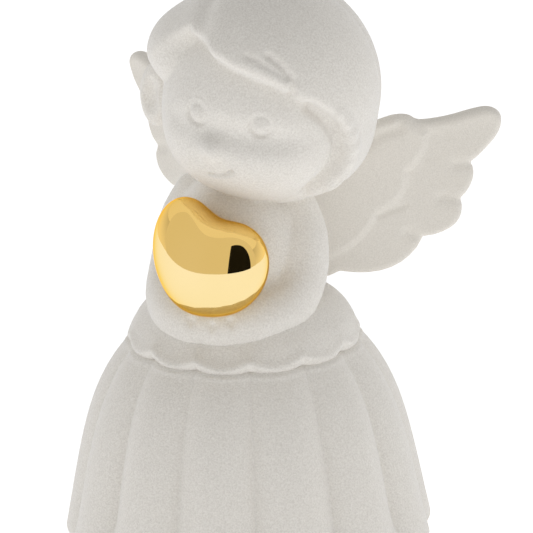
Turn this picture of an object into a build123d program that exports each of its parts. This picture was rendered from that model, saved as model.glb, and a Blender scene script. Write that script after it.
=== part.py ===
from build123d import *

import os
from math import cos, radians, sin

# Frame: millimetres, origin at the centre of the felt pad's underside, +Z up.
# The figure faces -Y, and its own left is +X.

# Foot
felt_radius = 38.0
felt_thickness = 1.0
plug_radius = 38.4
plug_thickness = 3.0

# Skirt: radius falls slowly from the hem and then quickly at the shoulder
flute_count = 13
flute_angle = 360 / flute_count
skirt_bottom = felt_thickness
skirt_top = 46.0
hem_radius = 42.4
skirt_taper = 0.2
shoulder_drop = 6.1
hem_curl = 1.0
hem_curl_height = 4.0
flute_depth_ratio = 0.04
skirt_wall = 3.6
skirt_roof = 5.0

# Overskirt
tier_hem_radius = 25.6
tier_hem_height = 48.6
tier_mid_radius = 23.1
tier_mid_height = 54.2
tier_top_radius = 18.0
tier_top = 58.0
tier_hem_round = 1.2
scallop_rise = 1.6
scallop_half_width = 2.6
scallop_waist_width = 0.8
scallop_waist_rise = 0.7

# Bodice
waist_radius = 15.5
chest_radius = 16.2
chest_height = 69.0
shoulder_radius = 12.6
shoulder_height = 80.0
collar_radius = 8.0
collar_height = 85.0

# Arms: centre line and radius of the figure's left arm, from shoulder to hand
arm_stations = [((11.8, 2.5, 77.0), 6.6), ((13.6, -0.5, 69.5), 7.4), ((13.6, -5.0, 62.0), 7.4),
                ((10.0, -12.0, 58.3), 6.8), ((5.4, -16.2, 57.0), 5.8)]

# Head and face, placed by azimuth and latitude on the rolled head
head_centre = Vector(6.8, 0, 103.0)
head_radius = 22.6
head_roll = 11.0
head_yaw = 1.7
cheek_radius = 10.5
cheek_azimuth = 30.0
cheek_latitude = -28.0
cheek_rise = 0.7
eye_radius = 2.1
eye_azimuth = 19.3
eye_rise = 0.9
nose_radius = 2.2
nose_latitude = -15.0
nose_rise = 2.0
ear_height = 14.5
ear_reach = 9.5
ear_thickness = 4.0
ear_azimuth = -88.0
ear_latitude = -12.0
ear_facing = 80.0

# Hair
hair_centre = Vector(6.85, 0, 105.5)
hair_radius = 25.2
hair_bottom = 84.0
bob_centre = Vector(20.5, -1.0, 93.5)
bob_radius = 9.5
fringe_rise = 0.7
fringe_normal = Vector(0.467, 0.388, 0.795)
fringe_offset = 4.0
fringe_back = 8.0
parting_x = -1.5
temple_height = 112.0
hairline_y = -1.0

# Wings: heights are above the ground, and spans run out from the wing's root line
wing_root = Vector(4.0, 13.0, 0)
wing_sweep = 36.0
wing_thickness = 3.4
covert_thickness = 5.4
right_wing_lift = 3.5
leading_edge = [(2.0, 80.0), (12.0, 87.5), (26.0, 93.4), (32.0, 92.0), (38.0, 92.4), (46.5, 94.5),
                (50.2, 91.5), (49.0, 87.5)]
feather_notches = [(43.6, 81.4), (41.3, 73.0), (32.6, 64.2), (13.0, 57.8), (0.0, 61.0)]
feather_crowns = [(44.4, 77.2), (39.3, 66.9), (25.0, 58.0), (6.5, 58.2)]
covert_notches = [(31.5, 91.0), (27.8, 80.8), (21.5, 71.5), (14.0, 63.5), (0.0, 63.5)]
covert_crowns = [(31.4, 85.5), (26.3, 75.4), (18.0, 67.3), (7.0, 62.2)]

# Heart
heart_centre = Vector(-0.6, -20.4, 69.8)
heart_lean = 10.0
heart_tilt = 24.0
lobe_offset = 3.6
lobe_rise = 0.3
lobe_splay = 35.0
lobe_half_width = 7.4
lobe_half_length = 13.6

# Dowels
waist_dowel_radius = 4.0
waist_dowel_top = 66.0
neck_dowel_radius = 3.0
neck_dowel_bottom = 73.0
neck_dowel_top = 92.0
neck_dowel_x = 3.5
arm_dowel_radius = 1.5
arm_dowel_height = 73.0
arm_dowel_inner = 9.0
arm_dowel_outer = 17.0
wing_dowel_radius = 1.1
wing_dowel_height = 72.0
wing_dowel_start = -3.0
wing_dowel_end = 9.0
heart_stud_radius = 1.6
heart_stud_back = 6.0
heart_stud_front = 19.0

# Larger than the figurine, for cutting away whole sides of a shape
beyond = 150.0


# ---------------------------------------------------------------- helpers

def skirt_radius(height):
    """Crest radius of the skirt at one height."""
    curl = max(0.0, 1 - height / hem_curl_height)
    shoulder = shoulder_drop * (height / skirt_top) ** 5
    return hem_radius - skirt_taper * height - shoulder - hem_curl * curl ** 2


def valley_radius(height):
    return skirt_radius(height) * (1 - flute_depth_ratio)


def polar_point(radius, angle):
    """Point in plan, with angle 0 at the front of the figure."""
    return (radius * sin(radians(angle)), -radius * cos(radians(angle)))


def head_direction(azimuth, latitude):
    """Unit vector on the rolled head: azimuth 0 is the face, positive to the figure's left."""
    flat = cos(radians(latitude))
    level = Vector(flat * sin(radians(azimuth + head_yaw)), -flat * cos(radians(azimuth + head_yaw)),
                   sin(radians(latitude)))
    return level.rotate(Axis.Y, head_roll)


def head_point(azimuth, latitude, radius):
    return head_centre + head_direction(azimuth, latitude) * radius


def wing_plane(side):
    """Plane of one wing: local x runs out along the span and local y runs up."""
    span = Vector(side * cos(radians(wing_sweep)), sin(radians(wing_sweep)), 0)
    lift = right_wing_lift if side < 0 else 0.0
    origin = Vector(side * wing_root.X, wing_root.Y, wing_root.Z + lift)
    return Plane(origin=origin, x_dir=span, z_dir=span.cross(Vector(0, 0, 1)))


heart_face = Vector(0, -cos(radians(heart_lean)), sin(radians(heart_lean)))


def heart_tangent(angle):
    """Direction across the heart's face: angle 0 points to its left lobe and 90 to its cleft."""
    turn = radians(angle - heart_tilt)
    return Vector(cos(turn), sin(turn) * sin(radians(heart_lean)), sin(turn) * cos(radians(heart_lean)))


# ---------------------------------------------------------------- dowels

waist_dowel_bottom = skirt_top - skirt_roof

with BuildPart() as waist_dowel:
    with BuildSketch(Plane.XY.offset(waist_dowel_bottom)):
        Circle(waist_dowel_radius)
    extrude(amount=waist_dowel_top - waist_dowel_bottom)

with BuildPart() as neck_dowel:
    with BuildSketch(Plane.XY.offset(neck_dowel_bottom)):
        with Locations((neck_dowel_x, 0)):
            Circle(neck_dowel_radius)
    extrude(amount=neck_dowel_top - neck_dowel_bottom)

with BuildPart() as heart_stud:
    with BuildSketch(Plane.XZ.offset(heart_stud_back)):
        with Locations((heart_centre.X, heart_centre.Z)):
            Circle(heart_stud_radius)
    extrude(amount=heart_stud_front - heart_stud_back)

with BuildPart() as arm_dowels:
    for side in (-1, 1):
        with BuildSketch(Plane(origin=(side * arm_dowel_inner, 0, arm_dowel_height), z_dir=(side, 0, 0))):
            Circle(arm_dowel_radius)
        extrude(amount=arm_dowel_outer - arm_dowel_inner)

with BuildPart() as wing_dowels:
    for side in (-1, 1):
        wing = wing_plane(side)
        start = wing.from_local_coords((wing_dowel_start, wing_dowel_height, 0))
        with BuildSketch(Plane(origin=start, z_dir=wing.x_dir)):
            Circle(wing_dowel_radius)
        extrude(amount=wing_dowel_end - wing_dowel_start)


# ---------------------------------------------------------------- foot and skirt

with BuildPart() as felt_pad:
    with BuildSketch(Plane.XY):
        Circle(felt_radius)
    extrude(amount=felt_thickness)

with BuildPart() as base_plug:
    with BuildSketch(Plane.XY.offset(skirt_bottom)):
        Circle(plug_radius)
    extrude(amount=plug_thickness)

skirt_levels = [skirt_bottom, 6.0, 16.0, 26.0, 35.0, 42.0, skirt_top]
cavity_floor = skirt_bottom + plug_thickness
cavity_roof = skirt_top - skirt_roof
cavity_levels = [cavity_floor, 16.0, 28.0, 36.0, cavity_roof]

with BuildPart() as skirt:
    for level in skirt_levels:
        with BuildSketch(Plane.XY.offset(level)):
            with BuildLine():
                for flute in range(flute_count):
                    angle = flute * flute_angle
                    ThreePointArc(polar_point(valley_radius(level), angle),
                                  polar_point(skirt_radius(level), angle + flute_angle / 2),
                                  polar_point(valley_radius(level), angle + flute_angle))
            make_face()
    loft()
    with BuildSketch(Plane.XZ):
        with BuildLine():
            wall_line = Spline(*[(valley_radius(level) - skirt_wall, level) for level in cavity_levels])
            Polyline(wall_line @ 1, (0, cavity_roof), (0, cavity_floor), wall_line @ 0)
        make_face()
    revolve(axis=Axis.Z, mode=Mode.SUBTRACT)
    add(base_plug.part, mode=Mode.SUBTRACT)
    add(waist_dowel.part, mode=Mode.SUBTRACT)


# ---------------------------------------------------------------- heart

with BuildPart() as heart:
    for side in (-1, 1):
        lobe_centre = heart_centre + heart_tangent(0) * side * lobe_offset + heart_tangent(90) * lobe_rise
        lobe_plane = Plane(origin=lobe_centre, x_dir=heart_tangent(-side * lobe_splay), z_dir=heart_face)
        with BuildSketch(lobe_plane):
            Ellipse(lobe_half_width, lobe_half_length)
            Rectangle(lobe_half_width, 2 * lobe_half_length, align=(Align.MAX, Align.CENTER),
                      mode=Mode.SUBTRACT)
        revolve(axis=Axis(lobe_plane.origin, lobe_plane.y_dir))
    add(heart_stud.part, mode=Mode.SUBTRACT)


# ---------------------------------------------------------------- head

ear_direction = head_direction(ear_azimuth, ear_latitude)
ear_plane = Plane(origin=head_centre + ear_direction * (head_radius - ear_reach / 3),
                  x_dir=ear_direction, z_dir=head_direction(ear_azimuth + ear_facing, 0))

with BuildPart() as head:
    with Locations(head_centre):
        Sphere(head_radius)
    with Locations(*[head_point(side * cheek_azimuth, cheek_latitude, head_radius + cheek_rise - cheek_radius)
                     for side in (-1, 1)]):
        Sphere(cheek_radius)
    with Locations(*[head_point(side * eye_azimuth, 0, head_radius + eye_rise - eye_radius)
                     for side in (-1, 1)]):
        Sphere(eye_radius)
    with Locations(head_point(0, nose_latitude, head_radius + nose_rise - nose_radius)):
        Sphere(nose_radius)
    with BuildSketch(ear_plane):
        Ellipse(ear_reach, ear_height / 2)
    extrude(amount=ear_thickness / 2, both=True)
    add(neck_dowel.part, mode=Mode.SUBTRACT)


# ---------------------------------------------------------------- bodice and arms

with BuildPart() as bodice:
    with BuildSketch(Plane.XZ):
        with BuildLine():
            side_line = Spline((waist_radius, tier_top), (chest_radius, chest_height),
                               (shoulder_radius, shoulder_height), (collar_radius, collar_height))
            Polyline(side_line @ 1, (0, collar_height), (0, tier_top), side_line @ 0)
        make_face()
    revolve(axis=Axis.Z)
    for neighbour in (head, heart, waist_dowel, neck_dowel, heart_stud, arm_dowels, wing_dowels):
        add(neighbour.part, mode=Mode.SUBTRACT)


def arm_plane(side, index):
    """Plane across one arm at one station, square to the line between the neighbouring stations."""
    mirrored = [Vector(side * x, y, z) for (x, y, z), radius in arm_stations]
    before = mirrored[max(index - 1, 0)]
    after = mirrored[min(index + 1, len(mirrored) - 1)]
    along = (after - before).normalized()
    return Plane(origin=mirrored[index], x_dir=Vector(1, 0, 0).cross(along), z_dir=along)


arms = {}
for name, side in (("left_arm", 1), ("right_arm", -1)):
    with BuildPart() as arm:
        for index, (centre, radius) in enumerate(arm_stations):
            with BuildSketch(arm_plane(side, index)):
                Circle(radius)
        loft()
        for index in (0, -1):
            (x, y, z), radius = arm_stations[index]
            with Locations((side * x, y, z)):
                Sphere(radius)
        split(bisect_by=Plane.YZ, keep=Keep.TOP if side > 0 else Keep.BOTTOM)
        for neighbour in (head, heart, bodice, neck_dowel, arm_dowels):
            add(neighbour.part, mode=Mode.SUBTRACT)
    arms[name] = arm


# ---------------------------------------------------------------- overskirt

with BuildPart() as overskirt:
    with BuildSketch(Plane.XZ):
        with BuildLine():
            outside = ThreePointArc((tier_hem_radius, tier_hem_height), (tier_mid_radius, tier_mid_height),
                                    (tier_top_radius, tier_top))
            Polyline(outside @ 1, (0, tier_top), (0, skirt_top),
                     (tier_hem_radius - tier_hem_round, skirt_top),
                     (tier_hem_radius, skirt_top + tier_hem_round), outside @ 0)
        make_face()
    revolve(axis=Axis.Z)
    for flute in range(flute_count):
        outward = Vector(*polar_point(1, flute * flute_angle), 0)
        with BuildSketch(Plane(origin=(0, 0, skirt_top), x_dir=outward.cross(Vector(0, 0, 1)), z_dir=outward)):
            with BuildLine():
                ThreePointArc((-scallop_half_width, 0), (-scallop_waist_width, scallop_waist_rise),
                              (0, scallop_rise))
                ThreePointArc((0, scallop_rise), (scallop_waist_width, scallop_waist_rise),
                              (scallop_half_width, 0))
                Line((scallop_half_width, 0), (-scallop_half_width, 0))
            make_face()
        extrude(amount=beyond, mode=Mode.SUBTRACT)
    for neighbour in (waist_dowel, *arms.values()):
        add(neighbour.part, mode=Mode.SUBTRACT)


# ---------------------------------------------------------------- hair

fringe_plane = Plane(origin=head_centre + fringe_normal * fringe_offset, z_dir=fringe_normal)

with BuildPart() as fringe:
    with Locations(hair_centre):
        Sphere(hair_radius + fringe_rise)
    split(bisect_by=fringe_plane, keep=Keep.TOP)
    split(bisect_by=Plane.XZ.offset(fringe_back), keep=Keep.TOP)
    split(bisect_by=Plane.YZ.offset(parting_x), keep=Keep.TOP)
    add(head.part, mode=Mode.SUBTRACT)

with BuildPart() as face_opening:
    with Locations((parting_x, hairline_y, head_centre.Z)):
        Box(beyond, beyond, beyond, align=(Align.MIN, Align.MAX, Align.CENTER))
    split(bisect_by=fringe_plane, keep=Keep.BOTTOM)
    with Locations((parting_x, hairline_y, temple_height)):
        Box(beyond, beyond, beyond, align=(Align.MAX, Align.MAX, Align.MAX))

with BuildPart() as hair:
    with Locations(hair_centre):
        Sphere(hair_radius)
    with Locations(bob_centre):
        Sphere(bob_radius)
    split(bisect_by=Plane.XY.offset(hair_bottom), keep=Keep.TOP)
    for neighbour in (face_opening, fringe, head, bodice, neck_dowel, *arms.values()):
        add(neighbour.part, mode=Mode.SUBTRACT)


# ---------------------------------------------------------------- wings

def scalloped_edge(notches, crowns):
    """Chain of rounded feather ends between the notches."""
    for start, crown, end in zip(notches, crowns, notches[1:]):
        ThreePointArc(start, crown, end)


wings = {}
for name, side in (("left_wing", 1), ("right_wing", -1)):
    with BuildPart() as wing:
        with BuildSketch(wing_plane(side)):
            with BuildLine():
                front = Spline(*leading_edge)
                Line(front @ 1, feather_notches[0])
                scalloped_edge(feather_notches, feather_crowns)
                Line(feather_notches[-1], front @ 0)
            make_face()
        extrude(amount=wing_thickness / 2, both=True)
        with BuildSketch(wing_plane(side)):
            with BuildLine():
                Line(leading_edge[0], leading_edge[1])
                Line(leading_edge[1], covert_notches[0])
                scalloped_edge(covert_notches, covert_crowns)
                Line(covert_notches[-1], leading_edge[0])
            make_face()
        extrude(amount=covert_thickness / 2, both=True)
        for neighbour in (bodice, wing_dowels, hair, *arms.values()):
            add(neighbour.part, mode=Mode.SUBTRACT)
    wings[name] = wing


# ---------------------------------------------------------------- export

pieces = {"felt_pad": felt_pad, "base_plug": base_plug, "skirt": skirt, "overskirt": overskirt,
          "bodice": bodice, **arms, "head": head, "hair": hair, "fringe": fringe, **wings, "heart": heart,
          "waist_dowel": waist_dowel, "neck_dowel": neck_dowel, "arm_dowels": arm_dowels,
          "wing_dowels": wing_dowels, "heart_stud": heart_stud}

os.makedirs("parts", exist_ok=True)
for name, piece in pieces.items():
    piece.part.label = name
    export_step(piece.part, f"parts/{name}.step")
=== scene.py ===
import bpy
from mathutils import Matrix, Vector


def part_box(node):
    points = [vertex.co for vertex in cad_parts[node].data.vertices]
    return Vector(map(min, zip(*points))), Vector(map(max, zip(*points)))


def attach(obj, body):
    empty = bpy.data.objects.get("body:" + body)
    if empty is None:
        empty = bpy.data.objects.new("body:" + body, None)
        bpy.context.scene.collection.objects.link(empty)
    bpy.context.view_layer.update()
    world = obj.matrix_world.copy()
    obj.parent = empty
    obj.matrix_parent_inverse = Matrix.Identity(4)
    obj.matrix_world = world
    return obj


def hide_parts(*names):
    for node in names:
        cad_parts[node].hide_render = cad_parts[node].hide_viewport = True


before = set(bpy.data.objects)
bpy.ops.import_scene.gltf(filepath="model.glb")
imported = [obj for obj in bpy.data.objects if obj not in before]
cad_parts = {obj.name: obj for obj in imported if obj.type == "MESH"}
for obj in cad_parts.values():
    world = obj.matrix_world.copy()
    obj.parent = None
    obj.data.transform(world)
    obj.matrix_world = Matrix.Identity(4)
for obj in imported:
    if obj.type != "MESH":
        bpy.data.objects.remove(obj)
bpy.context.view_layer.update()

from concurrent.futures import ThreadPoolExecutor
from math import cos, radians, sin

import bpy
import numpy as np
from mathutils import Matrix

# Shapes are worked out in millimetres, in the frame's own axes, and turned into metres
# when their mesh is made. The figure faces -Y, and its own left is +X.
MM = 0.001


def box_mm(node):
    low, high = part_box(node)
    return np.array(low) / MM, np.array(high) / MM


def vec(x, y, z):
    return np.array([x, y, z], float)


# ------------------------------------------------------------ anchors from the frame

skirt_low, skirt_high = box_mm("skirt")
tier_low, tier_high = box_mm("overskirt")
head_high = box_mm("head")[1]
hair_low, hair_high = box_mm("hair")
heart_low, heart_high = box_mm("heart")
left_wing_high = box_mm("left_wing")[1]
right_wing_high = box_mm("right_wing")[1]

# The head's and the hair's boxes end on their balls at the figure's left, back and top.
skull_radius = head_high[1]
skull = vec(head_high[0] - skull_radius, 0, head_high[2] - skull_radius)
crown_radius = hair_high[1]
crown = vec(hair_high[0] - crown_radius, 0, hair_high[2] - crown_radius)
heart_centre = (heart_low + heart_high) / 2


# ------------------------------------------------------------ distance fields

def length(v):
    return np.sqrt((v * v).sum(-1))


def unit(v):
    return v / np.linalg.norm(v)


def ball(p, centre, radius):
    return length(p - centre) - radius


def ellipsoid(p, centre, radii, axes=np.eye(3)):
    """Nearly the distance to an ellipsoid whose directions are the rows of axes."""
    q = (p - centre) @ axes.T
    near = length(q / radii)
    return near * (near - 1) / np.maximum(length(q / np.square(radii)), 1e-9)


def limb(p, start, end, start_radius, end_radius):
    """Tapered rod with round ends."""
    along = end - start
    t = np.clip((p - start) @ along / (along @ along), 0, 1)
    return length(p - start - t[:, None] * along) - start_radius - (end_radius - start_radius) * t


def smooth_min(a, b, blend):
    """The lesser of two fields, which joins their shapes with a rounded corner."""
    h = np.maximum(blend - np.abs(a - b), 0) / blend
    return np.minimum(a, b) - h * h * blend / 4


def smooth_max(a, b, blend):
    """The greater of two fields, which keeps what both shapes hold, with a rounded edge."""
    return -smooth_min(-a, -b, blend)


def chain(p, stations, blend=1.0):
    """Tapered rods through a list of (x, y, z, radius)."""
    shape = None
    for a, b in zip(stations, stations[1:]):
        rod = limb(p, vec(*a[:3]), vec(*b[:3]), a[3], b[3])
        shape = rod if shape is None else smooth_min(shape, rod, blend)
    return shape


def line_distance(p, points):
    """Distance to the line through the points, in space or in a plane."""
    points = [np.array(point, float) for point in points]
    return np.minimum.reduce([limb(p, a, b, 0, 0) for a, b in zip(points, points[1:])])


def groove(p, points, width, depth):
    """Amount to add to a field so that a soft groove follows the points."""
    return depth * np.exp(-np.square(line_distance(p, points) / width))


def onto_ball(p, centre, radius):
    """Points moved straight out or in to a ball's surface."""
    v = p - centre
    return centre + v * (radius / np.maximum(length(v), 1e-6))[:, None]


def ball_groove(p, points, centre, radius, width, depth):
    """As groove, but followed along a ball's surface, so that the points' own height doesn't matter."""
    points = onto_ball(np.array(points, float), centre, radius)
    return groove(onto_ball(p, centre, radius), points, width, depth)


def smooth_path(stations, steps):
    """Points of a smooth curve through the stations, with so many steps from each to the next."""
    p = np.array(stations, float)
    p = np.concatenate([[2 * p[0] - p[1]], p, [2 * p[-1] - p[-2]]])
    t = np.linspace(0, 1, steps, endpoint=False)[:, None]
    spans = []
    for a, b, c, d in zip(p, p[1:], p[2:], p[3:]):
        square = 2 * a - 5 * b + 4 * c - d
        cube = 3 * b - a - 3 * c + d
        spans.append(b + (c - a) * t / 2 + square * t ** 2 / 2 + cube * t ** 3 / 2)
    return np.concatenate(spans + [p[-2:-1]])


def fade(value, start, end):
    """0 below start, 1 above end, smooth between."""
    t = np.clip((value - start) / (end - start), 0, 1)
    return t * t * (3 - 2 * t)


def sampled(field, points, share=20000):
    """Field values at many points, in parts small enough for the processor's cache."""
    return np.concatenate([field(part) for part in np.array_split(points, len(points) // share + 1)])


def gradient(field, p, step=0.05):
    """Slope of a field from four samples at the corners of a tetrahedron."""
    corners = np.array([[1, -1, -1], [-1, -1, 1], [-1, 1, -1], [1, 1, 1]], float)
    return sum(corner * sampled(field, p + step * corner)[:, None] for corner in corners) / (4 * step)


# ------------------------------------------------------------ meshes from fields

# Sides, in cells, of the blocks that the grid is worked out in, each split into the next
blocks = (12, 4, 1)
# A block is split if its middle is nearer to the surface than its half diagonal, with some
# room for fields that aren't true distances.
half_diagonal = 0.9
block_room = 0.6
# How far under the figure's skin a vertex may lie and still take the skin's normal
skin_depth = 0.35


def field_grid(field, low, counts, cell):
    """Field values on a grid. Only blocks that the surface may pass through are split further."""
    values, parent = None, None
    for block in blocks:
        if values is None:
            near = np.ones(counts // block, bool)
            values = np.zeros(counts // block)
        else:
            for axis in range(3):
                values = np.repeat(values, parent // block, axis)
            near = np.abs(values) < parent * cell * half_diagonal + block_room
        middles = low + (np.argwhere(near) * block + (block - 1) / 2) * cell
        values[near] = sampled(field, middles)
        parent = block
    return values


def surface_net(field, low, high, cell):
    """Vertices and quads of the surface where the field is zero. Each cell that the surface
    passes through holds one vertex, and each grid edge that it crosses holds one quad."""
    low = low - 2 * cell
    counts = blocks[0] * np.ceil((high + 2 * cell - low) / (blocks[0] * cell)).astype(int)
    values = field_grid(field, low, counts, cell)
    inside = values < 0
    size = counts - 1
    offsets = np.stack(np.meshgrid([0, 1], [0, 1], [0, 1], indexing="ij"), -1).reshape(-1, 3)
    filled = sum(inside[x:x + size[0], y:y + size[1], z:z + size[2]].astype(np.uint8)
                 for x, y, z in offsets)
    cells = np.argwhere((filled > 0) & (filled < 8))
    index = np.full(size, -1)
    index[tuple(cells.T)] = np.arange(len(cells))
    total = np.zeros((len(cells), 3))
    crossings = np.zeros(len(cells))
    for a in offsets:
        for axis in np.flatnonzero(a == 0):
            b = a + np.eye(3, dtype=int)[axis]
            va = values[tuple((cells + a).T)]
            vb = values[tuple((cells + b).T)]
            cut = (va < 0) != (vb < 0)
            share = np.where(cut, va / np.where(cut, va - vb, 1), 0)
            total += cut[:, None] * (a + share[:, None] * (b - a))
            crossings += cut
    points = low + (cells + total / crossings[:, None]) * cell
    quads = []
    for axis in range(3):
        u, v = np.eye(3, dtype=int)[[(axis + 1) % 3, (axis + 2) % 3]]
        beyond = np.roll(inside, -1, axis)
        edges = np.argwhere(inside[1:-1, 1:-1, 1:-1] != beyond[1:-1, 1:-1, 1:-1]) + 1
        edges = edges[(edges < size).all(1)]
        quad = np.stack([index[tuple((edges + o).T)] for o in (-u - v, -v, 0 * u, -u)], 1)
        leaving = inside[tuple(edges.T)]
        quad = np.where(leaving[:, None], quad, quad[:, ::-1])
        quads.append(quad[(quad >= 0).all(1)])
    return points, np.concatenate(quads)


def settle(field, points, cell):
    """Vertices moved onto the surface itself, by at most half a cell in each of two steps."""
    slope = gradient(field, points)
    steepness = np.maximum((slope * slope).sum(1), 0.05)
    for _ in range(2):
        move = (sampled(field, points) / steepness)[:, None] * slope
        points = points - move * np.minimum(1, 0.5 * cell / np.maximum(length(move), 1e-9))[:, None]
    return points


def carve(field, low, high, cell, skin=None):
    """Vertices, quads and normals of a field's surface. Where the skin field is given, its
    normals are used wherever it passes through the surface, so that neighbours shade alike."""
    points, quads = surface_net(field, low, high, cell)
    points = settle(field, points, cell)
    normals = gradient(field, points)
    if skin is not None:
        on_skin = sampled(skin, points) > -skin_depth
        normals[on_skin] = gradient(skin, points[on_skin])
    return points, quads, normals / np.maximum(length(normals), 1e-9)[:, None]


def make_mesh(name, points, faces, normals=None):
    mesh = bpy.data.meshes.new(name)
    mesh.from_pydata((points * MM).tolist(), [], faces)
    mesh.polygons.foreach_set("use_smooth", [True] * len(mesh.polygons))
    if normals is not None:
        mesh.normals_split_custom_set_from_vertices(normals.tolist())
    piece = bpy.data.objects.new(name, mesh)
    bpy.context.scene.collection.objects.link(piece)
    return piece


def lathe(name, rings, steps):
    """Closed surface through rings round the Z axis. Each ring(angle) gives radii and heights,
    and the first and last rings are closed by a fan of triangles."""
    angle = np.linspace(0, 2 * np.pi, steps, endpoint=False)
    rows = []
    for ring in rings:
        radius, height = ring(angle)
        rows.append(np.stack([radius * np.sin(angle), -radius * np.cos(angle), height + 0 * angle], 1))
    poles = np.array([[0, 0, rows[0][0, 2]], [0, 0, rows[-1][0, 2]]])
    points = np.concatenate(rows + [poles])
    column = np.arange(steps)
    following = (column + 1) % steps
    faces = []
    for a in range(0, (len(rows) - 1) * steps, steps):
        b = a + steps
        faces += np.stack([a + column, b + column, b + following, a + following], 1).tolist()
    top, bottom = len(points) - 2, len(points) - 1
    last = (len(rows) - 1) * steps
    faces += [[top, int(i), int(j)] for i, j in zip(column, following)]
    faces += [[bottom, last + int(j), last + int(i)] for i, j in zip(column, following)]
    return make_mesh(name, points, faces)


# ------------------------------------------------------------ head

head_roll = radians(6.7)
head_yaw = radians(1.7)
head_axes = np.array([
    [cos(head_yaw) * cos(head_roll), sin(head_yaw), -cos(head_yaw) * sin(head_roll)],
    [-sin(head_yaw) * cos(head_roll), cos(head_yaw), sin(head_yaw) * sin(head_roll)],
    [sin(head_roll), 0, cos(head_roll)]])
# Azimuths and latitudes on the face are in degrees, from the head's own forward direction.
face_middle = 1.0
skin_inset = 0.25
cheek_azimuth, cheek_latitude = 31.0, -27.0
cheek_radius, cheek_sink = 11.0, 10.3
eye_azimuth, eye_latitude = 19.4, 1.3
eye_radius, eye_sink = 2.45, 2.4
moat_radius, moat_width = 2.24, 0.55
moat_depth, moat_shade = 0.25, 0.34
lid_radii, lid_width, lid_depth = (3.0, 3.9), 0.3, 0.06
nose_azimuth, nose_latitude = -6.8, -16.5
nose_radius, nose_sink = 2.3, 0.1
mouth_azimuth, mouth_latitude = -2.6, -32.6
smile_half, smile_tilt, smile_curl = 8.0, 0.34, 2.2
ear_centre = vec(-19.4, -0.6, 101.6)
ear_sweep = radians(20)


def on_face(azimuth, latitude, radius=skull_radius):
    """Point in the head's own axes: x to the figure's left, -y forwards, z up."""
    a, b = radians(azimuth), radians(latitude)
    return radius * vec(sin(a) * cos(b), -cos(a) * cos(b), sin(b))


def eye_place(side, sink=0.0):
    """Middle of one eye on the skull, or sunk under it. Side is 1 for the figure's left."""
    return on_face(face_middle + side * eye_azimuth, eye_latitude, skull_radius - sink)


def eye_marks(q, side):
    """Moat round one eye, deepest below it and towards the figure's right, and the faint lid
    lines over it, as depth to take away."""
    centre = eye_place(side)
    across = q - centre
    across = across - (across @ unit(centre))[:, None] * unit(centre)
    away = length(across)
    below = fade(-across[:, 2] - 0.6 * across[:, 0], -1.4, 2.2)
    above = fade(across[:, 2], 0.2, 1.4)
    depth = moat_depth + moat_shade * below
    moat = depth * np.exp(-np.square((away - moat_radius) / moat_width))
    lids = sum(lid_depth * above * np.exp(-np.square((away - radius) / lid_width)) for radius in lid_radii)
    return (moat + lids) * (q[:, 1] < 0)


def hollow(q, middle, half_size, depth, flatness=2):
    """Soft hollow in the face at (x, z) in the head's axes, as depth to take away."""
    x = (q[:, 0] - middle[0]) / half_size[0]
    z = (q[:, 2] - middle[1]) / half_size[1]
    return depth * np.exp(-np.square(z) - x ** flatness) * (q[:, 1] < 0)


def smile_groove(q):
    smile = []
    for azimuth in (-8, -5, -2, 2, 5, 8):
        lift = smile_tilt * azimuth + smile_curl * (azimuth / smile_half) ** 2
        smile.append(on_face(mouth_azimuth + azimuth, mouth_latitude + lift))
    return ball_groove(q, smile, vec(0, 0, 0), skull_radius, width=0.5, depth=0.95)


def head_shape(p):
    """Round head with full cheeks, a hollow under the eyes, a button nose, a smile and one ear."""
    q = (p - skull) @ head_axes.T
    shape = length(q) - (skull_radius - skin_inset)
    for side in (-1, 1):
        cheek = on_face(side * cheek_azimuth, cheek_latitude, skull_radius - cheek_sink)
        shape = smooth_min(shape, ball(q, cheek, cheek_radius), blend=6)
    shape = shape + hollow(q, (3.5, -2.4), (12.5, 3.2), depth=1.7, flatness=4)
    shape = shape + hollow(q, (-12.0, -2.0), (3.0, 3.0), depth=0.6)
    for side in (-1, 1):
        shape = smooth_min(shape, ball(q, eye_place(side, eye_sink), eye_radius), blend=0.5)
        shape = shape + eye_marks(q, side)
    nose = ball(q, on_face(nose_azimuth, nose_latitude, skull_radius - nose_sink), nose_radius)
    shape = smooth_min(shape, nose, blend=2.6) + smile_groove(q)
    shape = shape + ball_groove(p, bob_fold, skull, skull_radius, width=1.2, depth=1.3)
    shape = shape + ball_groove(p, jaw_fold, skull, skull_radius, width=0.8, depth=0.3)
    return smooth_min(shape, ear_shape(p), blend=1.4)


def ear_shape(p):
    """Upright ear with a bowl in its front."""
    outward = unit(vec(-cos(ear_sweep), sin(ear_sweep), 0.12))
    forward = vec(-sin(ear_sweep), -cos(ear_sweep), 0)
    axes = np.array([outward, forward, np.cross(outward, forward)])
    shell = ellipsoid(p, ear_centre, vec(4.8, 2.3, 7.4), axes)
    bowl = ellipsoid(p, ear_centre + 2.5 * forward, vec(2.4, 1.8, 4.2), axes)
    return smooth_max(shell, -bowl, blend=1.2)


# ------------------------------------------------------------ hair

crown_axis = unit(vec(0.467, 0.388, 0.795))
crown_front = unit(vec(0, -1, 0) + crown_axis[1] * crown_axis)
crown_side = np.cross(crown_axis, crown_front)
# Height of the hair's edge above the head's tilted equator, by angle round the crown axis.
# Angle 0 is the middle of the forehead, and angles grow towards the figure's left.
hairline = [(-180, -40), (-112, -34), (-101, -20), (-93, -8), (-80, -5.5), (-62, -3.5), (-56, -1.6),
            (-44, 3.0), (-34, 2.4), (-21, 1.7), (-8, 2.1), (3, 3.1), (13, 4.0), (24, 4.4), (36, 4.8),
            (49, 5.1), (62, 5.2), (72, 4.4), (79, 0.5), (85, -9), (92, -22), (104, -40), (180, -40)]
fringe_back = 8.0
parting_x = -1.5
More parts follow.
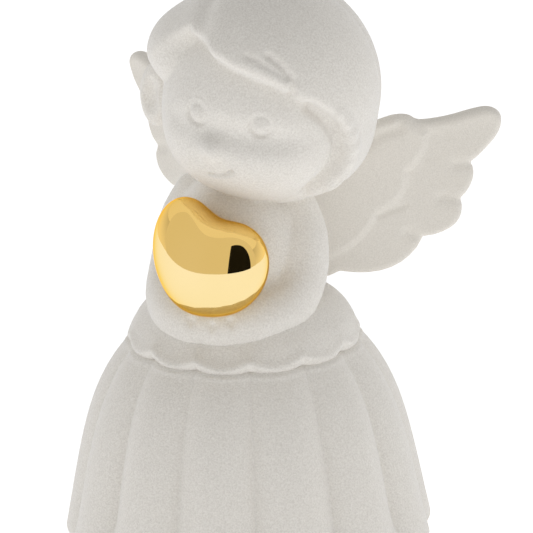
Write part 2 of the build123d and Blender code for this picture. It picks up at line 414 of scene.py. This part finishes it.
# The bob stands out at the figure's left and is tucked in at its right, more towards its lower edge.
bob_flare = 1.7
nape_tuck = 2.2
bob_right, bob_left = -4.0, 12.0
bob_low, bob_high = 87.0, 101.0
bob_lock = [(28.2, -10.4, 104.0, 1.2), (29.0, -6.6, 98.5, 1.7), (27.5, -4.5, 92.5, 2.2),
            (23.0, -4.5, 87.8, 2.6), (17.0, -5.2, 84.8, 2.0)]
bob_lock_path = smooth_path(bob_lock, 2)
side_lobe_centre = vec(-8.0, -3.8, 113.8)
side_lobe_radii = vec(10.0, 11.2, 9.2)
# The thin hair behind the ear, and how far all the hair goes on under the head's skin
close_thickness = 0.8
close_front = -9.6
close_left = skull[0] + 4
close_top = 111.0
root_depth = 1.4
parting = [(-0.5, 6, 131), (-0.3, -6, 129), (-0.1, -12, 126), (0.3, -17.5, 122.4), (0.6, -20, 119.8)]
upper_crease = [(12.8, -21.8, 118.2), (17.2, -21.0, 116.0), (20.8, -20.2, 113.6)]
lower_crease = [(17.4, -20.6, 118.4), (20.4, -20.0, 115.8), (22.6, -19.3, 113.0), (22.8, -20.0, 110.0)]
bob_fold = [(25.4, -16.4, 106.4), (27.6, -13.2, 103.0), (28.8, -10.4, 99.6), (28.6, -8.6, 95.6),
            (26.8, -8.0, 91.6), (23.6, -8.2, 88.2), (19.6, -8.6, 85.6)]
jaw_fold = [(26.5, -10.8, 100.3), (25.9, -9.9, 95.8), (24.5, -9.8, 92.7), (22.0, -9.8, 89.4),
            (18.2, -9.4, 85.6)]


def back_strand(bearing):
    """Groove that runs down the back of the hair, at a bearing from straight back."""
    downs = np.radians((12, 35, 60, 85, 108))
    return [crown + crown_radius * vec(sin(bearing) * sin(down), cos(bearing) * sin(down), cos(down))
            for down in downs]


# Each crease's points, width and depth
creases = [(parting, 2.4, 0.8), (upper_crease, 0.75, 0.4), (lower_crease, 0.8, 0.8), (bob_fold, 1.2, 1.6),
           (jaw_fold, 0.8, 0.7)]
creases += [(back_strand(bearing), 1.3, 0.35) for bearing in np.radians((-75, -45, -15, 15, 45, 75))]


def above_hairline(p):
    """How far a point is from the edge of the hair, negative on the hair's side."""
    v = p - skull
    away = np.maximum(length(v), 1e-6)
    around = np.degrees(np.arctan2(v @ crown_side, v @ crown_front))
    angles, heights = np.array(hairline, float).T
    edge = np.interp(around, angles, heights)
    return (edge - skull_radius * (v @ crown_axis) / away) * away / skull_radius


def close_hair(p):
    """Thin hair against the back of the skull at the figure's right, behind the ear."""
    shape = smooth_max(ball(p, skull, skull_radius + close_thickness), close_front - p[:, 1], blend=1.4)
    shape = smooth_max(shape, close_left - p[:, 0], blend=3.0)
    return smooth_max(shape, p[:, 2] - close_top, blend=5.0)


def hair_shape(p):
    """The whole head of hair, fringe included, with its locks and creases."""
    flare = (bob_flare + nape_tuck) * fade(p[:, 0], bob_right, bob_left) - nape_tuck
    shape = ball(p, crown, crown_radius) - flare * fade(-p[:, 2], -bob_high, -bob_low)
    shape = smooth_max(shape, above_hairline(p), blend=2.0)
    shape = smooth_min(shape, ellipsoid(p, side_lobe_centre, side_lobe_radii), blend=3.5)
    shape = smooth_max(shape, hair_low[2] - p[:, 2], blend=3.0)
    shape = smooth_min(shape, close_hair(p), blend=0.5)
    shape = smooth_min(shape, chain(p, bob_lock_path, blend=1.0), blend=1.6)
    for points, width, depth in creases:
        shape = shape + ball_groove(p, points, crown, crown_radius, width, depth)
    return np.maximum(shape, skull_radius - root_depth - length(p - skull))


def fringe_side(p):
    """Negative in the front lock, which sweeps from the parting."""
    return np.maximum(p[:, 1] + fringe_back, parting_x - p[:, 0])


# ------------------------------------------------------------ body

chest_centre = vec(0, -0.5, 69.0)
chest_radii = vec(15.6, 15.4, 17.4)
waist_sink = 3.0
# The figure's left sleeve from the shoulder to where the hands meet, as (x, y, z, radius)
arm_stations = [(12.4, 2.0, 79.0, 4.4), (14.6, 0.6, 72.0, 5.4), (14.8, -2.0, 64.0, 6.0),
                (12.8, -7.6, 58.2, 6.7), (8.4, -13.2, 56.2, 6.7), (3.6, -15.8, 55.4, 6.5),
                (0, -16.2, 55.2, 6.4)]
arm_path = smooth_path(arm_stations, 3)
arm_crease = [(13.9, -3.6, 76.6), (14.0, -6.0, 72.5), (13.0, -8.4, 66.5)]
elbow_hollow = vec(12.6, -9.4, 65.0)
elbow_hollow_size, elbow_hollow_depth = 3.0, 0.8
finger_creases = [[(-2.0, -22.0, 57.5), (-3.0, -20.4, 51.6)], [(3.0, -22.0, 57.0), (2.8, -20.4, 50.6)],
                  [(6.8, -20.8, 58.0), (8.0, -18.8, 51.4)]]


def bodice_shape(p):
    chest = ellipsoid(p, chest_centre, chest_radii)
    return smooth_max(chest, tier_high[2] - waist_sink - p[:, 2], blend=1.0)


def arms_shape(p):
    """Both sleeves, which run into one soft roll where the hands meet under the heart."""
    mirrored = np.abs(p * (1, 0, 0)) + p * (0, 1, 1)
    shape = chain(mirrored, arm_path, blend=0.6) + groove(mirrored, arm_crease, width=1.1, depth=0.45)
    from_elbow = length(mirrored - elbow_hollow) / elbow_hollow_size
    shape = shape + elbow_hollow_depth * np.exp(-np.square(from_elbow))
    for crease in finger_creases:
        shape = shape + groove(p, crease, width=0.9, depth=0.55)
    return shape


# ------------------------------------------------------------ wings

wing_root = vec(4.0, 13.0, 0)
wing_sweep = radians(36.0)
wing_lift = right_wing_high[2] - left_wing_high[2]
wing_curl = 2.8
curl_start, curl_end = 30.0, 56.0
right_wing_rise = 0.045
# Places on the wing are (distance out along its span, height).
leading_edge = [(-4, 70), (2, 80), (12, 87.5), (19, 91.4), (26, 93.4), (29.5, 93.2), (32, 91.9),
                (38, 92.4), (44, 93.9), (47.5, 94.3), (49.8, 93), (50.3, 90.6), (49.3, 87.6),
                (46.6, 84.4), (43.6, 81.4)]
feather_notches = [(43.6, 81.4), (41.3, 73.0), (32.6, 64.2), (13.0, 57.8), (-4.0, 61.0)]
feather_crowns = [(43.9, 77.5), (39.9, 67.0), (25.0, 57.6), (4.5, 56.6)]
covert_notches = [(33.0, 89.0), (28.2, 80.6), (21.5, 71.5), (14.0, 63.5), (-4.0, 61.5)]
covert_crowns = [(31.8, 84.2), (26.8, 75.0), (18.4, 66.9), (5.0, 60.5)]
# The grooves between feathers run from the notches a share of the way to one place.
feather_origin = (8.0, 82.0)
feather_shares = (0.10, 0.14, 0.16)
feather_slope = 0.6
covert_crease = [(22.0, 70.6), (28.0, 72.4)]
shoulder_crease = [(17.0, 86.5), (22.0, 89.8), (26.5, 91.0)]
vane_half = 1.6
covert_step, covert_softness = 0.85, 1.3
ridge_height, ridge_width = 0.3, 1.6


def arc_through(start, crown_point, end, steps=9):
    """Points of a parabola from start to end that passes the crown."""
    start, crown_point, end = (np.array(point, float) for point in (start, crown_point, end))
    pull = 2 * crown_point - (start + end) / 2
    t = np.linspace(0, 1, steps)[:, None]
    return (1 - t) ** 2 * start + 2 * t * (1 - t) * pull + t ** 2 * end


def scalloped(notches, crowns):
    """Outline that bulges to a crown between each notch and the next."""
    arcs = [arc_through(a, c, b)[1:] for a, c, b in zip(notches, crowns, notches[1:])]
    return np.concatenate([[notches[0]]] + arcs)


def outline_distance(s, outline):
    """Signed distance in a plane to a closed outline, negative inside."""
    nearest = np.full(len(s), 1e9)
    inside = np.zeros(len(s), bool)
    for a, b in zip(outline, np.roll(outline, -1, axis=0)):
        along = b - a
        t = np.clip((s - a) @ along / max(along @ along, 1e-9), 0, 1)
        nearest = np.minimum(nearest, ((s - a - t[:, None] * along) ** 2).sum(1))
        crosses = (a[1] > s[:, 1]) != (b[1] > s[:, 1])
        slope = (b[0] - a[0]) / (b[1] - a[1] if b[1] != a[1] else 1e-9)
        inside ^= crosses & (s[:, 0] < a[0] + (s[:, 1] - a[1]) * slope)
    return np.sqrt(nearest) * np.where(inside, -1, 1)


def lookup(flat_field, low=(-12.0, 44.0), high=(60.0, 108.0), step=0.25):
    """A flat field worked out once on a grid and blended between the grid's points."""
    axes = [np.arange(a, b, step) for a, b in zip(low, high)]
    grid = np.stack(np.meshgrid(*axes, indexing="ij"), -1)
    values = flat_field(grid.reshape(-1, 2)).reshape(grid.shape[:2])

    def look_up(s):
        at = (s - np.array(low)) / step
        at = np.clip(at, 0, np.array(values.shape) - 1.001)
        cell = at.astype(int)
        x, y = (at - cell).T
        i, j = cell.T
        return ((values[i, j] * (1 - x) + values[i + 1, j] * x) * (1 - y)
                + (values[i, j + 1] * (1 - x) + values[i + 1, j + 1] * x) * y)

    return look_up


leading_path = smooth_path(leading_edge, 3)
wing_outline = np.concatenate([leading_path, scalloped(feather_notches, feather_crowns)[1:]])
covert_outline = np.concatenate([[(-4, 70), (2, 80), (12, 87.5), (26, 93.0)],
                                 scalloped(covert_notches, covert_crowns)])
ridge_path = leading_path[6:32:2] - (0, ridge_width)


def wing_half_thickness(s):
    """Half of the wing's thickness: more over the coverts and along the leading edge."""
    into_covert = -outline_distance(s, covert_outline)
    half = vane_half + covert_step * fade(into_covert, -covert_softness, covert_softness)
    half = half + groove(s, ridge_path, ridge_width, ridge_height)
    half = half - groove(s, covert_crease, width=0.8, depth=0.35)
    half = half - groove(s, shoulder_crease, width=1.6, depth=0.9)
    for (x, z), share in zip(feather_notches, feather_shares):
        inward = (x + share * (feather_origin[0] - x), z + share * (feather_origin[1] - z) * feather_slope)
        half = half - groove(s, [(x, z), inward], width=1.3, depth=0.45)
    return half


wing_rim = lookup(lambda s: outline_distance(s, wing_outline))
wing_half = lookup(wing_half_thickness)


def wing_shape(p, side):
    """One wing: side is 1 for the figure's left and -1 for its right, which stands higher."""
    span = vec(side * cos(wing_sweep), sin(wing_sweep), 0)
    facing = vec(-side * sin(wing_sweep), cos(wing_sweep), 0)
    q = p - wing_root * vec(side, 1, 1)
    raised = wing_lift + right_wing_rise * (q @ span) if side < 0 else 0
    s = np.stack([q @ span, p[:, 2] - raised], 1)
    bent = q @ facing + wing_curl * fade(s[:, 0], curl_start, curl_end)
    return smooth_max(wing_rim(s), np.abs(bent) - wing_half(s), blend=1.9)


def left_wing_shape(p):
    return wing_shape(p, 1)


def right_wing_shape(p):
    return wing_shape(p, -1)


# ------------------------------------------------------------ one continuous figure, split into pieces

shapes = {"bodice": bodice_shape, "arms": arms_shape, "head": head_shape, "hair": hair_shape,
          "left_wing": left_wing_shape, "right_wing": right_wing_shape}
# The box that each shape is worked out in
reach = {"bodice": ((-19, -19, 52), (19, 19, 90)), "arms": ((-24, -26, 46), (24, 10, 88)),
         "head": ((-26, -27, 78), (32, 24, 127)), "hair": ((-22, -27, 80), (36, 27, 132)),
         "left_wing": ((0, 8, 50), (48, 48, 100)), "right_wing": ((-48, 8, 52), (0, 48, 104))}
# Which shapes meet, and how softly the flock fills the corner between them
joins = {("bodice", "arms"): 3.0, ("bodice", "head"): 0.8, ("arms", "head"): 0.8, ("head", "hair"): 0.7,
         ("bodice", "left_wing"): 2.5, ("bodice", "right_wing"): 2.5, ("arms", "hair"): 0.6,
         ("hair", "left_wing"): 0.6}
# Each piece: the shape that it is cut from, the side that it keeps, and its mesh's cell
pieces = {"bodice": ("bodice", None, 0.6), "left_arm": ("arms", lambda p: -p[:, 0], 0.42),
          "right_arm": ("arms", lambda p: p[:, 0], 0.42), "head": ("head", None, 0.36),
          "hair": ("hair", lambda p: -fringe_side(p), 0.48), "fringe": ("hair", fringe_side, 0.4),
          "left_wing": ("left_wing", None, 0.42), "right_wing": ("right_wing", None, 0.42)}
# Field value far from a shape
far = 50.0
# How steeply a piece dips under its neighbour past their joint, and how far it goes on
joint_dip = 0.6
joint_depth = 1.2


def shape_nearby(name, p):
    """Field of one shape, worked out only near its own box."""
    low, high = reach[name]
    near = ((p > vec(*low) - 4) & (p < vec(*high) + 4)).all(1)
    values = np.full(len(p), far)
    values[near] = shapes[name](p[near])
    return values


def piece_fields(name):
    """Fields of one piece and of the figure's skin round it. Past its joint the piece dips
    under its neighbour, so that the joint line is closed."""
    shape, cut = pieces[name][:2]
    near = {a if b == shape else b: blend for (a, b), blend in joins.items() if shape in (a, b)}

    def skin(p):
        whole = shape_nearby(shape, p)
        for other, blend in near.items():
            whole = smooth_min(whole, shape_nearby(other, p), blend)
        return whole

    def piece(p):
        own = shape_nearby(shape, p)
        whole = own
        rest = np.full(len(p), far)
        for other, blend in near.items():
            theirs = shape_nearby(other, p)
            whole = smooth_min(whole, theirs, blend)
            rest = np.minimum(rest, theirs)
        past_joint = (own - rest) / 2
        if cut:
            past_joint = np.maximum(past_joint, cut(p))
        whole = whole + joint_dip * np.maximum(past_joint, 0)
        return smooth_max(whole, past_joint - joint_depth, blend=0.5)

    return piece, skin


# ------------------------------------------------------------ skirt and overskirt

flute_count = 13
flute_depth = 0.085
flute_fading = 0.45
skirt_top = skirt_high[2]
skirt_bottom = skirt_low[2]
hem_radius = 42.4
hem_round = 1.6
skirt_taper = 0.2
shoulder_drop = 6.1
tuck_inset = 4.5
tuck_rise = 1.7
flutes_rise_from, flutes_rise_to = 2.0, 14.0
# The plug's seat inside the hem, and the hollow above it as (radius, height)
seat_radius, seat_depth, ledge_radius = 38.4, 3.0, 36.5
skirt_hollow = [(34, 16), (31, 28), (26, 40), (12, 41)]


def flute(angle, softness=0.004, fullness=0.3):
    """0 in the valley between two flutes and 1 on the crest, with a softened valley."""
    wave = np.square(np.sin(flute_count * angle / 2))
    valley, crest = softness ** fullness, (1 + softness) ** fullness
    return ((wave + softness) ** fullness - valley) / (crest - valley)


def skirt_radius(height):
    return hem_radius - skirt_taper * height - shoulder_drop * (height / skirt_top) ** 5


def plain_ring(radius, height):
    return lambda angle: (np.full(angle.shape, float(radius)), height)


def fluted_ring(height, inset=0.0, rise=0.0):
    """Ring of the skirt's outside. The flutes are shallower near its top and its hem."""
    depth = flute_depth * (1 - flute_fading * (height / skirt_top) ** 4)
    depth = depth * (1 - flute_fading * (1 - fade(height, flutes_rise_from, flutes_rise_to)))
    return lambda angle: (skirt_radius(height) * (1 - depth * (1 - flute(angle))) - inset, height + rise)


def skirt_rings():
    """Rings from the top centre, down the outside, round the hem and back up the inside."""
    turns = np.radians(np.linspace(0, 90, 9))
    heights = np.linspace(skirt_top, skirt_bottom + hem_round, 60)
    rings = [plain_ring(radius, skirt_top + tuck_rise) for radius in (6.0, 14.0, 18.0)]
    rings += [fluted_ring(skirt_top, tuck_inset * (1 - sin(turn)), tuck_rise * cos(turn)) for turn in turns]
    rings += [fluted_ring(height) for height in heights[1:]]
    rings += [fluted_ring(skirt_bottom + hem_round * (1 - sin(turn)), hem_round * (1 - cos(turn)))
              for turn in turns[1:]]
    seat_top = skirt_bottom + seat_depth
    inside = [(seat_radius, skirt_bottom), (seat_radius, seat_top), (ledge_radius, seat_top)] + skirt_hollow
    return rings + [plain_ring(radius, height) for radius, height in inside]


scallop = 1.8
scallop_softness = 0.02
scallop_tuck = 0.2
tier_top_radius = 17.0
tier_spread = 8.6
tier_hem = 47.8
tier_bulge, tier_drop = 0.82, 0.72
under_gap = 0.6
# The front of the overskirt is a straighter slope than its sides and back.
front_straightness = 0.8
front_span = radians(50)
bead_size, bead_place, bead_width = 0.6, 0.96, 0.11
roll_middle, roll_radius = 23.5, 2.4


def cusp(angle):
    """How far the overskirt's edge is drawn up: most between two scallops."""
    wave = np.square(np.sin(flute_count * angle / 2))
    return scallop * (1 - np.sqrt(wave + scallop_softness))


def tier_ring(t):
    """Ring of the overskirt's outside, with t from 0 at its top to 1 at its hem."""
    bulge = sin(t * np.pi / 2) ** tier_bulge
    drop = (1 - cos(t * np.pi / 2)) ** tier_drop
    bead = bead_size * np.exp(-((t - bead_place) / bead_width) ** 2)

    def ring(angle):
        from_front = np.minimum(angle, 2 * np.pi - angle)
        straighter = front_straightness * np.exp(-np.square(from_front / front_span))
        radius = tier_top_radius + tier_spread * (bulge + straighter * (t - bulge)) + bead
        height = tier_high[2] - (tier_high[2] - tier_hem) * (drop + straighter * (t - drop))
        return radius - scallop_tuck * cusp(angle) * t, height + cusp(angle) * fade(t, 0.35, 1.0)

    return ring


def rolled_ring(turn):
    """Ring of the overskirt's rolled hem, at a turn round the roll from straight outwards."""
    radius = roll_middle + roll_radius * cos(turn)
    height = tier_hem - roll_radius * sin(turn)
    return lambda angle: (radius - scallop_tuck * cusp(angle), height + cusp(angle))


def tier_rings():
    """Rings of the overskirt from its top centre to its scalloped, rolled hem and back underneath."""
    under = tier_low[2] + under_gap
    rings = [plain_ring(radius, tier_high[2]) for radius in (6.0, 13.0)]
    rings += [tier_ring(t) for t in np.linspace(0, 1, 40)]
    rings += [rolled_ring(turn) for turn in np.radians(np.linspace(12, 150, 10))]
    return rings + [plain_ring(radius, under) for radius in (22.5, 12.0)]


# ------------------------------------------------------------ heart

heart_lean = radians(7.0)
heart_axes = np.array([vec(1, 0, 0), vec(0, cos(heart_lean), -sin(heart_lean)),
                       vec(0, sin(heart_lean), cos(heart_lean))])


def lobe(q, middle, tilt, radii):
    """Ellipsoid that leans in the heart's own plane."""
    axes = np.array([vec(cos(tilt), 0, -sin(tilt)), vec(0, 1, 0), vec(sin(tilt), 0, cos(tilt))])
    return ellipsoid(q, middle, radii, axes)


def heart_shape(p):
    """Puffy heart of two long lobes that lean apart and share a round bottom."""
    q = (p - heart_centre) @ heart_axes.T
    right_lobe = lobe(q, middle=vec(-4.9, 0.5, 0.6), tilt=radians(-10), radii=vec(8.1, 7.3, 12.5))
    left_lobe = lobe(q, middle=vec(3.9, -0.4, -1.6), tilt=radians(36), radii=vec(9.4, 7.5, 11.0))
    return smooth_min(right_lobe, left_lobe, blend=5.2)


# ------------------------------------------------------------ materials

# How far each surface's bump stands out, in metres like the scene itself
fibre_height = 0.25 * MM
gold_ripple = 0.2 * MM


def new_material(name):
    material = bpy.data.materials.new(name)
    material.use_nodes = True
    nodes = material.node_tree.nodes
    return material, nodes, material.node_tree.links, nodes["Principled BSDF"]


def noise_on_object(nodes, links, scale, detail=2.0, roughness=0.55):
    place = nodes.new("ShaderNodeTexCoord")
    noise = nodes.new("ShaderNodeTexNoise")
    noise.inputs["Scale"].default_value = scale
    noise.inputs["Detail"].default_value = detail
    noise.inputs["Roughness"].default_value = roughness
    links.new(place.outputs["Object"], noise.inputs["Vector"])
    return noise.outputs["Fac"]


def colour_ramp(nodes, links, source, stops):
    ramp = nodes.new("ShaderNodeValToRGB")
    elements = ramp.color_ramp.elements
    for element, (position, colour) in zip(elements, stops):
        element.position = position
        element.color = (*colour, 1)
    links.new(source, ramp.inputs["Fac"])
    return ramp.outputs["Color"]


def add_bump(nodes, links, shader, source, strength, depth):
    bump = nodes.new("ShaderNodeBump")
    bump.inputs["Strength"].default_value = strength
    bump.inputs["Distance"].default_value = depth
    links.new(source, bump.inputs["Height"])
    links.new(bump.outputs["Normal"], shader.inputs["Normal"])


def flock_material(name, dark, light, grain, strength, sheen):
    """Velvet flock: short fibres that speckle the colour and glow at grazing angles."""
    material, nodes, links, shader = new_material(name)
    fibres = noise_on_object(nodes, links, grain, 3.0, 0.7)
    links.new(colour_ramp(nodes, links, fibres, [(0.3, dark), (0.7, light)]), shader.inputs["Base Color"])
    add_bump(nodes, links, shader, fibres, strength, fibre_height)
    shader.inputs["Roughness"].default_value = 0.95
    shader.inputs["Specular IOR Level"].default_value = 0.1
    shader.inputs["Sheen Weight"].default_value = sheen
    shader.inputs["Sheen Roughness"].default_value = 0.45
    shader.inputs["Sheen Tint"].default_value = (1.0, 0.99, 0.97, 1)
    return material


def gold_material():
    """Mirror-bright gold with a faint drift in its colour and a faint ripple in its polish."""
    material, nodes, links, shader = new_material("polished_gold")
    drift = noise_on_object(nodes, links, 60.0, 1.0)
    links.new(colour_ramp(nodes, links, drift, [(0.3, (0.92, 0.62, 0.19)), (0.7, (0.95, 0.65, 0.22))]),
              shader.inputs["Base Color"])
    ripple = noise_on_object(nodes, links, 160.0, 1.0)
    add_bump(nodes, links, shader, ripple, 0.04, gold_ripple)
    shader.inputs["Metallic"].default_value = 1.0
    shader.inputs["Specular Tint"].default_value = (0.95, 0.66, 0.26, 1)
    shader.inputs["Roughness"].default_value = 0.04
    return material


def plain_material(name, dark, light, grain, strength, depth, roughness):
    """Dull, speckled surface for the parts that are hidden inside or underneath."""
    material, nodes, links, shader = new_material(name)
    speck = noise_on_object(nodes, links, grain, 4.0, 0.6)
    links.new(colour_ramp(nodes, links, speck, [(0.3, dark), (0.7, light)]), shader.inputs["Base Color"])
    add_bump(nodes, links, shader, speck, strength, depth)
    shader.inputs["Roughness"].default_value = roughness
    return material


# ------------------------------------------------------------ making the pieces

lathe_steps = 60 * flute_count
heart_cell = 0.3
flock = flock_material("flocked_resin", dark=(0.725, 0.692, 0.642), light=(0.925, 0.898, 0.848),
                       grain=2600.0, strength=0.6, sheen=0.6)
# The wings' flock is a darker, warmer copy of the body's flock. That colour is painted shade and painted
# warm bounce light for wings that sit back behind the body. Its finer grain and weaker sheen stand for the
# wings' own smoother surface.
wing_flock = flock_material("wing_flock", dark=(0.735, 0.70, 0.64), light=(0.87, 0.835, 0.775),
                            grain=3200.0, strength=0.3, sheen=0.25)
gold = gold_material()
resin = plain_material("bare_resin", dark=(0.72, 0.69, 0.63), light=(0.80, 0.77, 0.71),
                       grain=700.0, strength=0.2, depth=0.2 * MM, roughness=0.6)
felt = plain_material("felt", dark=(0.66, 0.64, 0.60), light=(0.80, 0.79, 0.76),
                      grain=1500.0, strength=0.6, depth=0.4 * MM, roughness=0.95)


def dress(piece, node, material):
    """Makes a piece stand for a CAD node, in its material."""
    piece.data.materials.append(material)
    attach(piece, "root")
    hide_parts(node)


def carve_piece(name):
    shape, cut, cell = pieces[name]
    low, high = reach[shape]
    piece, skin = piece_fields(name)
    return carve(piece, vec(*low), vec(*high), cell, skin)


with ThreadPoolExecutor(4) as pool:
    carved = dict(zip(pieces, pool.map(carve_piece, pieces)))
for name, (points, quads, normals) in carved.items():
    piece = make_mesh(name + "_flock", points, quads.tolist(), normals)
    # The wings take the darker, warmer flock, whose colour is painted shade.
    if name.endswith("wing"):
        dress(piece, name, wing_flock)
    else:
        dress(piece, name, flock)

dress(lathe("skirt_flock", skirt_rings(), lathe_steps), "skirt", flock)
dress(lathe("overskirt_flock", tier_rings(), lathe_steps), "overskirt", flock)
points, quads, normals = carve(heart_shape, heart_low - 3, heart_high + 3, heart_cell)
dress(make_mesh("heart_gold", points, quads.tolist(), normals), "heart", gold)

carried_over = dict.fromkeys(("base_plug", "waist_dowel", "neck_dowel", "arm_dowels", "wing_dowels",
                              "heart_stud"), resin)
carried_over["felt_pad"] = felt
for node, material in carried_over.items():
    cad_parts[node].data.materials.clear()
    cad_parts[node].data.materials.append(material)


# ------------------------------------------------------------ stage, light and camera

camera_distance = 700.0
camera_azimuth = radians(25.0)
camera_elevation = radians(18.0)
camera_roll = radians(-1.5)
aim_height = 65.0
aim_right, aim_down = 5.44, 1.44
sensor_width = 36.0
lens_length = 212.758
floor_radius = 4000.0


def glow_material(name, colour, strength, tint=(1, 1, 1)):
    """Matt surface that also gives off light."""
    material, nodes, links, shader = new_material(name)
    shader.inputs["Base Color"].default_value = (*colour, 1)
    shader.inputs["Roughness"].default_value = 1.0
    shader.inputs["Specular IOR Level"].default_value = 0.0
    shader.inputs["Emission Color"].default_value = (*tint, 1)
    shader.inputs["Emission Strength"].default_value = strength
    return material


def disc(radius, height):
    """Points of a level disc round the figure."""
    angles = np.linspace(0, 2 * np.pi, 96, endpoint=False)
    return np.stack([radius * np.cos(angles), radius * np.sin(angles), height + 0 * angles], 1)


def make_sheet(name, points):
    """One flat face through the points."""
    return make_mesh(name, points, [list(range(len(points)))])


def make_floor():
    floor = make_sheet("floor", disc(floor_radius, 0))
    floor.data.materials.append(glow_material("pale_floor", (0.9, 0.9, 0.9), 0.6))


def make_reflector(name, points, strength, tint=(1, 1, 1)):
    """A flat sheet that only polished surfaces mirror."""
    sheet = make_sheet(name, points)
    sheet.data.materials.append(glow_material(name + "_cloth", (0.01, 0.01, 0.01), strength, tint))
    sheet.visible_camera = False
    sheet.visible_diffuse = False
    sheet.visible_shadow = False


def arch(bearing, width, height, distance, squareness):
    """Points of an upright arch that stands on the floor in front of the figure."""
    turns = np.radians(np.linspace(0, 180, 49))[:, None]
    outward = vec(sin(bearing), -cos(bearing), 0)
    sideways = vec(cos(bearing), sin(bearing), 0)
    spread = np.sign(np.cos(turns)) * np.abs(np.cos(turns)) ** squareness
    rise = np.abs(np.sin(turns)) ** squareness
    return outward * distance + sideways * width / 2 * spread + vec(0, 0, height) * rise


def make_light_tent():
    """What the gold mirrors: the tent's floor, its front wall, the dark opening in it and its roof."""
    opening = arch(radians(29.5), width=1160.0, height=1060.0, distance=760.0, squareness=0.8)
    wall = arch(radians(15.0), width=5200.0, height=3000.0, distance=800.0, squareness=0.45)
    make_reflector("tent_opening", opening, strength=0.0)
    make_reflector("tent_wall", wall, strength=0.75)
    make_reflector("tent_roof", disc(radius=5000.0, height=3100.0), strength=0.86)
    make_reflector("tent_floor", disc(radius=3900.0, height=0.2), strength=1.05, tint=(1.0, 1.17, 1.85))


def make_world():
    """Soft tent of light, dimmer above and in front of the figure than beside and behind it."""
    world = bpy.data.worlds.new("studio")
    bpy.context.scene.world = world
    world.use_nodes = True
    nodes, links = world.node_tree.nodes, world.node_tree.links
    background = nodes["Background"]
    background.inputs["Color"].default_value = (1, 0.995, 0.985, 1)
    place = nodes.new("ShaderNodeTexCoord")
    towards = nodes.new("ShaderNodeVectorMath")
    towards.operation = "DOT_PRODUCT"
    dimmest = unit(vec(0.15, -0.45, 0.88))
    towards.inputs[1].default_value = dimmest.tolist()
    strength = nodes.new("ShaderNodeMapRange")
    strength.interpolation_type = "SMOOTHSTEP"
    for socket, value in (("From Min", -0.4), ("From Max", 1.0), ("To Min", 1.05), ("To Max", 0.46)):
        strength.inputs[socket].default_value = value
    links.new(place.outputs["Generated"], towards.inputs[0])
    links.new(towards.outputs["Value"], strength.inputs["Value"])
    links.new(strength.outputs["Result"], background.inputs["Strength"])


def make_camera():
    """Long lens from the figure's left and above, rolled a little."""
    right = vec(cos(camera_azimuth), sin(camera_azimuth), 0)
    back = vec(sin(camera_azimuth) * cos(camera_elevation), -cos(camera_azimuth) * cos(camera_elevation),
               sin(camera_elevation))
    up = np.cross(back, right)
    turned_right = cos(camera_roll) * right + sin(camera_roll) * up
    turned_up = cos(camera_roll) * up - sin(camera_roll) * right
    aim = vec(0, 0, aim_height) + aim_right * turned_right - aim_down * turned_up
    data = bpy.data.cameras.new("camera")
    data.sensor_width = sensor_width
    data.lens = lens_length
    data.clip_start = 0.01
    camera = bpy.data.objects.new("camera", data)
    bpy.context.scene.collection.objects.link(camera)
    turn = np.eye(4)
    turn[:3, 0], turn[:3, 1], turn[:3, 2] = turned_right, turned_up, back
    turn[:3, 3] = (aim + camera_distance * back) * MM
    camera.matrix_world = Matrix(turn.tolist())
    bpy.context.scene.camera = camera


make_floor()
make_light_tent()
make_world()
make_camera()
bpy.context.scene.view_settings.view_transform = "Standard"
